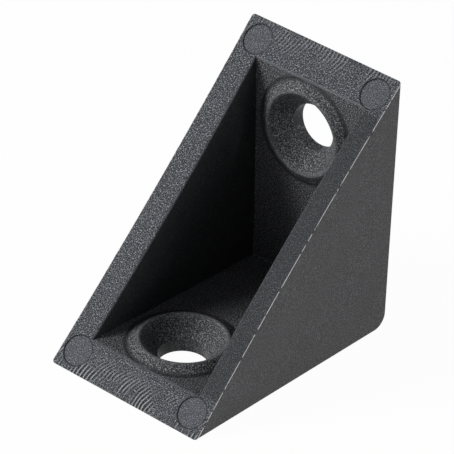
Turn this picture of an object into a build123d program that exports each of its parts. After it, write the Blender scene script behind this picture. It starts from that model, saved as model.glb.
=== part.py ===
from build123d import *
from math import sqrt
import os

# Inside corner bracket for T slot framing: one moulding in black glass filled nylon.
# It stands on its base leg. X runs across the width, the base leg points to -Y and the
# back leg rises along +Z. The origin is the middle of the base leg's outer face.
# All sizes are in millimetres.

# The two legs and the two gusset walls that join them
width = 24.7                # across the outer faces of the two gusset walls
leg_length = 36.0           # from the heel to the sharp edge of either toe
leg_wall = 3.3              # thickness of both legs
gusset_wall = 3.1           # thickness of a gusset wall where it meets the rim
gusset_draft = 2.8          # degrees by which each gusset wall thickens towards the heel
rail_bow = 0.38             # how far shrinkage draws the middle of each rail inwards
core_shift = 0.35           # the mould's core stands this far off centre, towards +X

# Edges
heel_radius = 2.1           # the outer corner between the two mounting faces
edge_radius = 0.6           # the long outer edges of the legs
pocket_radius = 0.45        # every corner down inside the pocket
rim_radius = 0.25           # the edge where the rim turns down into the pocket

# One screw hole in each leg, for a 6 mm screw, with a flared collar round it
hole_height = 25.0          # from the heel to the hole's axis, along either leg
bore_diameter = 6.5
bore_land = 1.75            # the straight part of the bore, from the leg's outer face
collar_diameter = 14.6      # where the collar's outer flank meets the leg
crest_diameter = 11.3       # the ring where the funnel and the outer flank would meet
collar_height = 1.05        # how far that ring stands above the leg
crest_radius = 0.4          # rounding of the crest

# Witness marks of the four ejector pins, in the corners of the rim
pin_diameter = 4.1
pin_side_inset = 2.7        # from the outer face of the gusset wall
pin_toe_inset = 2.8         # from the toe, along the slope of the rim
pin_depth = 0.1

heel_y = leg_length / 2
half_width = width / 2
rim_length = leg_length * sqrt(2)
pocket_length = rim_length - 2 * sqrt(2) * leg_wall

# The rim is the sloping face that the mould's core leaves by: the core draws along +Z of this plane.
rim = Plane(origin=(0, 0, leg_length / 2), x_dir=(1, 0, 0), z_dir=(0, -1, 1))


def triangle(corner_y, corner_z, side):
    """A right triangle in the YZ plane, its legs running up and towards the toe from one corner."""
    outline = Polyline(
        (corner_y, corner_z),
        (corner_y, corner_z + side),
        (corner_y - side, corner_z),
        close=True,
    )
    return Plane.YZ * make_face(outline)


def beyond_sides(rim_x, corner_x, length):
    """The two bodies beyond one pair of gusset faces, left and right.

    A face keeps to rim_x at both ends of a length of the rim, bows inwards between them by
    rail_bow, and runs down to corner_x at the corner under the middle of that length.
    """
    face_radius = (length / 2) ** 2 / (2 * rail_bow) + rail_bow / 2
    top = rim.from_local_coords(Vector(rim_x - rail_bow + face_radius, 0, 0))
    bottom = rim.from_local_coords(Vector(corner_x + face_radius, 0, -length / 2))
    axis_plane = Plane(origin=(top + bottom) * 0.5, z_dir=top - bottom, x_dir=(1, 0, 0))
    right = axis_plane * Cylinder(face_radius, 2 * face_radius)
    return right + mirror(right, about=Plane.YZ)


def gusseted_angle():
    """The outer form: two equal legs, filled in between by the gusset walls up to the rim."""
    block = extrude(triangle(heel_y, 0, leg_length), half_width, both=True)
    heel = block.edges().filter_by(Axis.X).sort_by(Axis.Z)[:2].sort_by(Axis.Y)[-1]
    block = fillet(heel, heel_radius)
    mounting_faces = block.faces().sort_by(Axis.Y)[-1:] + block.faces().sort_by(Axis.Z)[:1]
    long_edges = [edge for face in mounting_faces for edge in face.edges() if abs(edge.center().X) > half_width / 2]
    return fillet(long_edges, edge_radius) - beyond_sides(half_width, half_width, rim_length)


def pocket():
    """The space between the legs and the gusset walls, as deep as the legs' inner faces."""
    half_mouth = half_width - gusset_wall
    mouth = rim * Rectangle(2 * half_mouth, 2 * pocket_length)
    between_walls = extrude(mouth, -pocket_length / 2, taper=gusset_draft)
    core = extrude(triangle(heel_y - leg_wall, leg_wall, leg_length), half_width, both=True) & between_walls
    open_face = core.faces().sort_by(Axis((0, 0, 0), rim.z_dir))[-1]
    corners = [edge for edge in core.edges() if edge not in open_face.edges()]
    deep_corner = core.vertices().sort_by(Axis((0, 0, 0), rim.z_dir))[0]
    core = fillet(corners, pocket_radius) - beyond_sides(half_mouth, abs(deep_corner.X), pocket_length)
    return Pos(core_shift, 0, 0) * core


def collar(leg_face):
    """A ring round the screw hole: straight bore, funnel, rounded crest and outer flank."""
    bore_radius = bore_diameter / 2
    base_radius = collar_diameter / 2
    half_section = Polyline(
        (bore_radius, -leg_wall),
        (base_radius, -leg_wall),
        (base_radius, 0),
        (crest_diameter / 2, collar_height),
        (bore_radius, bore_land - leg_wall),
        close=True,
    )
    section = make_face(half_section)
    section = fillet(section.vertices().sort_by(Axis.Y)[-1], crest_radius)
    return leg_face * revolve(Plane.XZ * section, Axis.Z)


def bracket():
    body = gusseted_angle() - pocket()
    rim_face = body.faces().sort_by(Axis((0, 0, 0), rim.z_dir))[-1]
    body = fillet(rim_face.inner_wires()[0].edges(), rim_radius)

    back_leg_face = Plane(origin=(0, heel_y - leg_wall, hole_height), x_dir=(1, 0, 0), z_dir=(0, -1, 0))
    base_leg_face = Plane(origin=(0, heel_y - hole_height, leg_wall), x_dir=(1, 0, 0), z_dir=(0, 0, 1))
    for leg_face in (back_leg_face, base_leg_face):
        seat = Cylinder(collar_diameter / 2, leg_wall, align=(Align.CENTER, Align.CENTER, Align.MAX))
        body = body - leg_face * seat + collar(leg_face)

    pin = Cylinder(pin_diameter / 2, pin_depth, align=(Align.CENTER, Align.CENTER, Align.MAX))
    for side in (-1, 1):
        for end in (-1, 1):
            spot = (side * (half_width - pin_side_inset), end * (rim_length / 2 - pin_toe_inset))
            body -= rim * Pos(*spot) * pin
    return body


os.makedirs("parts", exist_ok=True)
export_step(bracket(), "parts/bracket.step")
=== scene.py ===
import math

import bpy
from mathutils import Matrix, Vector

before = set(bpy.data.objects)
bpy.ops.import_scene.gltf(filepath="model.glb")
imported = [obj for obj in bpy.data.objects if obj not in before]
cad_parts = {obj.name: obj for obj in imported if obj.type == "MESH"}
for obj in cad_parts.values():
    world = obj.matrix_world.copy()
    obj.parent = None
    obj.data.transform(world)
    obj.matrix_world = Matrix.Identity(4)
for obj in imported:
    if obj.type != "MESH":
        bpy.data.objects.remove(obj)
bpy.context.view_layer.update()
scene = bpy.context.scene

# ---- The bracket: one moulding ---------------------------------------------------------------------
# One piece of black glass filled nylon, shot into a spark eroded mould and pushed out by four
# ejector pins on the corners of the rim. The rim's own face was milled in the mould's core plate,
# so it carries the arcs of the cutter, while every other face carries the eroded grain.

MM = 0.001
leg_length = 36.0 * MM
leg_wall = 3.3 * MM
half_width = 12.35 * MM
rail_bow = 0.38 * MM
rim_slope = math.sqrt(0.5)
half_rim = leg_length * rim_slope
hole_height = 25.0 * MM
pin_x = 9.65 * MM
pin_v = half_rim - 2.8 * MM
pin_radius = 2.05 * MM


def shader_group(name, inputs, outputs):
    """An empty shader node group with named sockets, and its two end nodes."""
    group = bpy.data.node_groups.new(name, "ShaderNodeTree")
    for label, value in inputs:
        socket = group.interface.new_socket(label, in_out="INPUT", socket_type="NodeSocketFloat")
        socket.default_value = value
    for label in outputs:
        group.interface.new_socket(label, in_out="OUTPUT", socket_type="NodeSocketFloat")
    return group, group.nodes.new("NodeGroupInput"), group.nodes.new("NodeGroupOutput")


def use_group(tree, group):
    """Places a node group in a material's tree."""
    node = tree.nodes.new("ShaderNodeGroup")
    node.node_tree = group
    return node


def feed(tree, socket, value):
    """Sets a socket from a number, a colour or another node's output."""
    if isinstance(value, bpy.types.NodeSocket):
        tree.links.new(value, socket)
    else:
        socket.default_value = value


def calc(tree, operation, *values):
    """A math node on numbers or outputs."""
    node = tree.nodes.new("ShaderNodeMath")
    node.operation = operation
    for socket, value in zip(node.inputs, values):
        feed(tree, socket, value)
    return node.outputs[0]


def product(tree, first, *others):
    """All the values multiplied together."""
    for other in others:
        first = calc(tree, "MULTIPLY", first, other)
    return first


def distance(tree, across, along):
    """The length of the line with these two sides."""
    squares = calc(tree, "ADD", calc(tree, "POWER", across, 2.0), calc(tree, "POWER", along, 2.0))
    return calc(tree, "SQRT", squares)


def inverse(tree, mask):
    """The same mask with its ones and noughts swapped."""
    return calc(tree, "SUBTRACT", 1.0, mask)


def fade(tree, value, full, none):
    """A mask: 1 where the value reaches full, easing to 0 where it reaches none."""
    node = tree.nodes.new("ShaderNodeMapRange")
    node.interpolation_type = "SMOOTHSTEP"
    feed(tree, node.inputs["Value"], value)
    node.inputs["From Min"].default_value = full
    node.inputs["From Max"].default_value = none
    node.inputs["To Min"].default_value = 1
    node.inputs["To Max"].default_value = 0
    return node.outputs[0]


def band(tree, value, middle, full, none):
    """A mask round one value: 1 within full of the middle, easing to 0 at none from it."""
    return fade(tree, calc(tree, "ABSOLUTE", calc(tree, "SUBTRACT", value, middle)), full, none)


def noise(tree, vector, scale, detail=2.0, roughness=0.5):
    """Cloudy noise between 0 and 1, with scale cells to the metre."""
    node = tree.nodes.new("ShaderNodeTexNoise")
    feed(tree, node.inputs["Vector"], vector)
    feed(tree, node.inputs["Scale"], scale)
    node.inputs["Detail"].default_value = detail
    node.inputs["Roughness"].default_value = roughness
    return node.outputs["Fac"]


def paint(tree, under, mask, strength, colour):
    """Lays a colour over another where the mask allows it."""
    node = tree.nodes.new("ShaderNodeMix")
    node.data_type = "RGBA"
    feed(tree, node.inputs[0], calc(tree, "MULTIPLY", mask, strength))
    feed(tree, node.inputs[6], under)
    feed(tree, node.inputs[7], colour)
    return node.outputs[2]


def object_point(tree):
    return tree.nodes.new("ShaderNodeTexCoord").outputs["Object"]


def object_axes(tree):
    split = tree.nodes.new("ShaderNodeSeparateXYZ")
    tree.links.new(object_point(tree), split.inputs[0])
    return split.outputs


# ---- Where a point lies on the rim -------------------------------------------------------------------
# The marks follow the rim, so a group works out each point's place from the rim's own plane:
# across it, along its slope, below it, in from its outer edges and toes, and out from a pin.

def rim_place_group():
    tree, _, out = shader_group("rim place", [], ["Across", "Along", "Below", "Edge", "Toe", "Pin"])
    x, y, z = object_axes(tree)
    raised = calc(tree, "SUBTRACT", z, leg_length / 2)
    along = product(tree, calc(tree, "ADD", y, raised), rim_slope)
    below = product(tree, calc(tree, "SUBTRACT", y, raised), rim_slope)
    side = calc(tree, "ABSOLUTE", x)
    end = calc(tree, "ABSOLUTE", along)

    # The rails bow inwards, least at the toes
    sag = product(tree, calc(tree, "POWER", calc(tree, "DIVIDE", along, half_rim), 2.0), rail_bow)
    rail_x = calc(tree, "ADD", sag, half_width - rail_bow)
    pin = distance(tree, calc(tree, "SUBTRACT", side, pin_x), calc(tree, "SUBTRACT", end, pin_v))

    tree.links.new(x, out.inputs["Across"])
    tree.links.new(along, out.inputs["Along"])
    tree.links.new(below, out.inputs["Below"])
    tree.links.new(calc(tree, "SUBTRACT", rail_x, side), out.inputs["Edge"])
    tree.links.new(calc(tree, "SUBTRACT", half_rim, end), out.inputs["Toe"])
    tree.links.new(pin, out.inputs["Pin"])
    return tree


# ---- Where a point lies on a collar ------------------------------------------------------------------
# The collars round the two screw holes carry painted shade at the foot and a painted highlight at the crest,
# so a second group works out each point's distance from the nearer hole's axis, and masks both rings.

crest_ring = 5.65 * MM
foot_ring = 7.3 * MM
collar_reach = 1.3 * MM


def collar_place_group():
    tree, _, out = shader_group("collar place", [], ["Foot", "Crest"])
    x, y, z = object_axes(tree)
    from_heel = calc(tree, "SUBTRACT", leg_length / 2, y)

    # Each leg owns the half of the space that lies nearer to it
    on_base = fade(tree, calc(tree, "SUBTRACT", z, from_heel), -0.01 * MM, 0.01 * MM)
    on_back = inverse(tree, on_base)
    height = calc(tree, "ADD", product(tree, z, on_base), product(tree, from_heel, on_back))
    length = calc(tree, "ADD", product(tree, from_heel, on_base), product(tree, z, on_back))
    above = calc(tree, "SUBTRACT", height, leg_wall)
    reach = distance(tree, x, calc(tree, "SUBTRACT", length, hole_height))

    inside = product(
        tree,
        fade(tree, above, collar_reach, collar_reach + 0.2 * MM),
        fade(tree, above, -0.2 * MM, -0.5 * MM),
    )
    foot = band(tree, reach, foot_ring, 0.1 * MM, 0.5 * MM)
    crest = band(tree, reach, crest_ring, 0.1 * MM, 0.6 * MM)
    tree.links.new(product(tree, foot, inside), out.inputs["Foot"])
    tree.links.new(product(tree, crest, inside), out.inputs["Crest"])
    return tree


# ---- Marks of the mould ---------------------------------------------------------------------------------
# Spark erosion leaves pits and crests of about a seventh of a millimetre. The cutter that faced the
# core plate swung in from each toe, and left a row of arcs that fade out towards the pocket.

grain_size = 0.15 * MM
patch_scale = 260.0         # cloudy patches in the gloss, about 4 mm across
arc_pitch = 0.55 * MM
arc_swing = 5.0 * MM        # radius of the cutter's path
arc_wander = 0.9 * MM       # how far the path strays
wander_scale = 260.0
break_scale = 420.0         # the stretches where the cutter skipped
upper_toe_strength = 0.45   # the upper toe's arcs are fainter than the lower toe's


def eroded_grain_group():
    outputs = ["Height", "Crests", "Pits", "Patches"]
    tree, given, out = shader_group("eroded grain", [("Size", grain_size)], outputs)
    point = object_point(tree)
    grain = noise(tree, point, calc(tree, "DIVIDE", 1.0, given.outputs["Size"]), 1.0)
    tree.links.new(grain, out.inputs["Height"])
    tree.links.new(fade(tree, grain, 0.66, 0.52), out.inputs["Crests"])
    tree.links.new(fade(tree, grain, 0.38, 0.50), out.inputs["Pits"])
    tree.links.new(noise(tree, point, patch_scale, 3.0, 0.6), out.inputs["Patches"])
    return tree


def cutter_arcs_group():
    inputs = [("Across", 0.0), ("Along", 0.0), ("Toe", 0.0), ("Pitch", arc_pitch)]
    tree, given, out = shader_group("cutter arcs", inputs, ["Height", "Strength"])
    point = object_point(tree)
    toe = calc(tree, "MINIMUM", given.outputs["Toe"], arc_swing * 0.96)
    chord = calc(tree, "SQRT", calc(tree, "SUBTRACT", arc_swing ** 2, calc(tree, "POWER", toe, 2.0)))
    drift = calc(tree, "SUBTRACT", arc_swing, chord)
    way = calc(tree, "SIGN", given.outputs["Along"])
    start = calc(tree, "ADD", given.outputs["Across"], product(tree, drift, way))
    wander = product(tree, noise(tree, point, wander_scale), arc_wander)
    turns = calc(tree, "DIVIDE", calc(tree, "ADD", start, wander), given.outputs["Pitch"])
    wave = calc(tree, "SINE", product(tree, turns, 2 * math.pi))

    near_toe = fade(tree, given.outputs["Toe"], 1.0 * MM, 4.8 * MM)
    upper = fade(tree, given.outputs["Along"], 0.2 * MM, -0.2 * MM)
    share = calc(tree, "ADD", product(tree, upper, upper_toe_strength - 1.0), 1.0)
    broken = fade(tree, noise(tree, point, break_scale), 0.62, 0.36)
    tree.links.new(wave, out.inputs["Height"])
    tree.links.new(product(tree, near_toe, broken, share), out.inputs["Strength"])
    return tree


# ---- The nylon ------------------------------------------------------------------------------------------
# Black nylon with glass in it, with a painted glint in mid grey on its grain's crests and painted shade near
# black in its pits.
# The walls that the core drew along are smooth and painted near black as painted shade, the right rail is
# burnished, and the outer sides are finer.

body_grey = (0.048, 0.045, 0.047, 1)
rim_grey = (0.041, 0.045, 0.053, 1)
burnished_grey = (0.014, 0.016, 0.019, 1)
drawn_wall_shade_black = (0.012, 0.015, 0.016, 1)
pit_shade_black = (0.008, 0.009, 0.010, 1)
crest_glint_grey = (0.30, 0.315, 0.34, 1)
collar_crest_highlight_grey = (0.17, 0.175, 0.19, 1)
collar_foot_shade_black = (0.012, 0.013, 0.016, 1)
arc_valley = (0.010, 0.011, 0.013, 1)
arc_ridge = (0.42, 0.43, 0.45, 1)
pin_grey = (0.11, 0.118, 0.135, 1)
pocket_edge_highlight_grey = (0.24, 0.25, 0.27, 1)
rail_edge_highlight_grey = (0.60, 0.59, 0.58, 1)
groove_black = (0.01, 0.01, 0.012, 1)

rim_depth = 0.14 * MM       # the pin marks lie a tenth below the rim and count as rim
relief_height = 0.18 * MM
edge_highlight_break_scale = 900.0


def black_nylon(rim_place, collar_place, eroded_grain, cutter_arcs):
    material = bpy.data.materials.new("black glass filled nylon")
    material.use_nodes = True
    tree = material.node_tree
    tree.nodes.clear()
    place = use_group(tree, rim_place).outputs
    collar = use_group(tree, collar_place).outputs
    grain = use_group(tree, eroded_grain).outputs
    arcs_node = use_group(tree, cutter_arcs)
    for label in ("Across", "Along", "Toe"):
        tree.links.new(place[label], arcs_node.inputs[label])
    arcs = arcs_node.outputs

    # Zones of the moulding
    on_rim = fade(tree, place["Below"], rim_depth, rim_depth + 0.06 * MM)
    off_pins = fade(tree, place["Pin"], pin_radius + 0.1 * MM, pin_radius)
    on_pins = product(tree, on_rim, inverse(tree, off_pins))
    groove = product(tree, on_rim, band(tree, place["Pin"], pin_radius, 0.04 * MM, 0.16 * MM))
    burnished = product(
        tree, on_rim,
        fade(tree, place["Across"], 9.0 * MM, 8.0 * MM),
        fade(tree, place["Toe"], 6.0 * MM, 4.5 * MM),
    )
    outer_side = product(tree, fade(tree, place["Edge"], 0.25 * MM, 0.6 * MM), inverse(tree, on_rim))
    facing = tree.nodes.new("ShaderNodeSeparateXYZ")
    tree.links.new(tree.nodes.new("ShaderNodeTexCoord").outputs["Normal"], facing.inputs[0])
    # The pocket's inner side walls: smoother grain, and painted shade in near black
    shaded_drawn_wall = product(
        tree,
        fade(tree, calc(tree, "ABSOLUTE", facing.outputs[0]), 0.97, 0.9),
        fade(tree, place["Edge"], 1.2 * MM, 0.8 * MM),
    )

    # Edges: a painted highlight along the rounding down into the pocket, and a painted highlight broken by
    # noise along the sharp outer edges of the rails
    pocket_edge_highlight = product(
        tree, off_pins,
        fade(tree, place["Below"], 0.25 * MM, 0.35 * MM),
        fade(tree, place["Below"], 0.06 * MM, 0.01 * MM),
        fade(tree, place["Edge"], 1.0 * MM, 0.6 * MM),
    )
    # Painted highlight along the rails' sharp outer edges, broken up by noise
    rail_edge_highlight = product(
        tree,
        fade(tree, place["Edge"], 0.11 * MM, 0.17 * MM),
        fade(tree, place["Below"], 0.06 * MM, 0.12 * MM),
        fade(tree, noise(tree, object_point(tree), edge_highlight_break_scale), 0.44, 0.36),
    )

    # Grain and arcs, where they may show
    smooth = product(tree, outer_side, 0.7)
    smooth = calc(tree, "ADD", smooth, product(tree, burnished, 0.7))
    smooth = calc(tree, "ADD", smooth, product(tree, shaded_drawn_wall, 0.85))
    coarse = inverse(tree, smooth)
    arc_zone = product(tree, on_rim, off_pins, arcs["Strength"])
    ridges = product(tree, arc_zone, fade(tree, arcs["Height"], 0.9, 0.1))
    valleys = product(tree, arc_zone, fade(tree, arcs["Height"], -0.9, -0.2))

    colour = paint(tree, body_grey, on_rim, 1.0, rim_grey)
    colour = paint(tree, colour, burnished, 0.8, burnished_grey)
    # Painted shade on the pocket's inner side walls
    colour = paint(tree, colour, shaded_drawn_wall, 0.75, drawn_wall_shade_black)
    # Painted shade in the grain's pits and a painted glint on its crests, where the grain is coarse
    colour = paint(tree, colour, product(tree, grain["Pits"], coarse), 0.9, pit_shade_black)
    colour = paint(tree, colour, product(tree, grain["Crests"], coarse), 0.95, crest_glint_grey)
    # A painted highlight on each collar's crest and painted shade at its foot
    colour = paint(tree, colour, collar["Crest"], 0.3, collar_crest_highlight_grey)
    colour = paint(tree, colour, collar["Foot"], 0.8, collar_foot_shade_black)
    colour = paint(tree, colour, valleys, 0.8, arc_valley)
    colour = paint(tree, colour, ridges, 0.8, arc_ridge)
    colour = paint(tree, colour, on_pins, 0.4, pin_grey)
    # Painted highlight along the rounding down into the pocket
    colour = paint(tree, colour, pocket_edge_highlight, 0.35, pocket_edge_highlight_grey)
    # Painted highlight along the rails' sharp outer edges
    colour = paint(tree, colour, rail_edge_highlight, 0.95, rail_edge_highlight_grey)
    colour = paint(tree, colour, groove, 0.8, groove_black)

    relief = calc(tree, "ADD", grain["Height"], product(tree, arcs["Height"], arc_zone, 0.5))
    bump = tree.nodes.new("ShaderNodeBump")
    bump.inputs["Distance"].default_value = relief_height
    tree.links.new(relief, bump.inputs["Height"])
    roughness = calc(tree, "ADD", product(tree, grain["Patches"], 0.2), 0.4)

    shader = tree.nodes.new("ShaderNodeBsdfPrincipled")
    shader.inputs["IOR"].default_value = 1.53
    shader.inputs["Specular IOR Level"].default_value = 0.3
    tree.links.new(colour, shader.inputs["Base Color"])
    tree.links.new(roughness, shader.inputs["Roughness"])
    tree.links.new(bump.outputs["Normal"], shader.inputs["Normal"])
    out = tree.nodes.new("ShaderNodeOutputMaterial")
    tree.links.new(shader.outputs[0], out.inputs[0])
    return material


nylon = black_nylon(rim_place_group(), collar_place_group(), eroded_grain_group(), cutter_arcs_group())
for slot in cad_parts["bracket"].material_slots:
    slot.material = nylon


# ---- Floor and studio light -------------------------------------------------------------------------------
# A plain pale floor that the camera sees as near white with the bracket's soft shadow on it,
# a softbox in front of the left side as the key, and a weaker one behind the right side.

floor_half = 3.0
floor_grey = (0.8, 0.8, 0.8, 1)
floor_white_share = 0.97
room_grey = (0.15, 0.154, 0.162, 1)
lamp_distance = 0.5


def seen_white(tree, lit, share):
    """Mixes a lit shader towards plain white for what is seen directly or in a reflection."""
    path = tree.nodes.new("ShaderNodeLightPath")
    seen = calc(tree, "MAXIMUM", path.outputs["Is Camera Ray"], path.outputs["Is Glossy Ray"])
    seen = calc(tree, "MAXIMUM", seen, path.outputs["Is Transmission Ray"])
    white = tree.nodes.new("ShaderNodeEmission")
    white.inputs["Color"].default_value = (1, 1, 1, 1)
    white.inputs["Strength"].default_value = 1
    blend = tree.nodes.new("ShaderNodeMixShader")
    tree.links.new(product(tree, seen, share), blend.inputs[0])
    tree.links.new(lit, blend.inputs[1])
    tree.links.new(white.outputs[0], blend.inputs[2])
    return blend.outputs[0]


def pale_paint():
    material = bpy.data.materials.new("floor")
    material.use_nodes = True
    tree = material.node_tree
    tree.nodes.clear()
    lit = tree.nodes.new("ShaderNodeBsdfDiffuse")
    lit.inputs["Color"].default_value = floor_grey
    out = tree.nodes.new("ShaderNodeOutputMaterial")
    tree.links.new(seen_white(tree, lit.outputs[0], floor_white_share), out.inputs[0])
    return material


floor_mesh = bpy.data.meshes.new("floor")
floor_corners = [
    (-floor_half, -floor_half, 0),
    (floor_half, -floor_half, 0),
    (floor_half, floor_half, 0),
    (-floor_half, floor_half, 0),
]
floor_mesh.from_pydata(floor_corners, [], [(0, 1, 2, 3)])
floor_mesh.materials.append(pale_paint())
floor = bpy.data.objects.new("floor", floor_mesh)
scene.collection.objects.link(floor)

world = bpy.data.worlds.new("studio")
scene.world = world
world.use_nodes = True
world.node_tree.nodes.clear()
room = world.node_tree.nodes.new("ShaderNodeBackground")
room.inputs["Color"].default_value = room_grey
world_out = world.node_tree.nodes.new("ShaderNodeOutputWorld")
world.node_tree.links.new(room.outputs[0], world_out.inputs[0])


def direction(azimuth, elevation):
    """A unit vector from the bracket. Azimuth 0 is in front of the toe and 90 to the right, in degrees."""
    azimuth, elevation = math.radians(azimuth), math.radians(elevation)
    return Vector((
        math.sin(azimuth) * math.cos(elevation),
        -math.cos(azimuth) * math.cos(elevation),
        math.sin(elevation),
    ))


def facing_origin(away, place):
    """The matrix of something that stands at a place and looks back along a direction."""
    return Matrix.Translation(place) @ away.to_track_quat("Z", "Y").to_matrix().to_4x4()


def softbox(name, azimuth, elevation, size, power):
    data = bpy.data.lights.new(name, "AREA")
    data.size = size
    data.energy = power
    box = bpy.data.objects.new(name, data)
    away = direction(azimuth, elevation)
    box.matrix_world = facing_origin(away, away * lamp_distance)
    scene.collection.objects.link(box)


softbox("key", -44, 33, 0.22, 2.5)
softbox("side", 112, 22, 0.3, 0.95)


# ---- Camera -------------------------------------------------------------------------------------------------
# Above the toe and to its right, with a long lens, so that both screw holes and the whole rim show.

camera_target = Vector((0.000336, -0.000035, 0.017613))
camera_distance = 0.49727
camera_azimuth = 40.533
camera_elevation = 32.291
camera_roll = 2.471

camera_data = bpy.data.cameras.new("camera")
camera_data.lens = 317.18
camera_data.sensor_width = 36
camera_data.clip_start = 0.01
camera = bpy.data.objects.new("camera", camera_data)
camera_away = direction(camera_azimuth, camera_elevation)
camera_seat = facing_origin(camera_away, camera_target + camera_away * camera_distance)
camera.matrix_world = camera_seat @ Matrix.Rotation(math.radians(camera_roll), 4, "Z")
scene.collection.objects.link(camera)
scene.camera = camera
scene.view_settings.view_transform = "Standard"
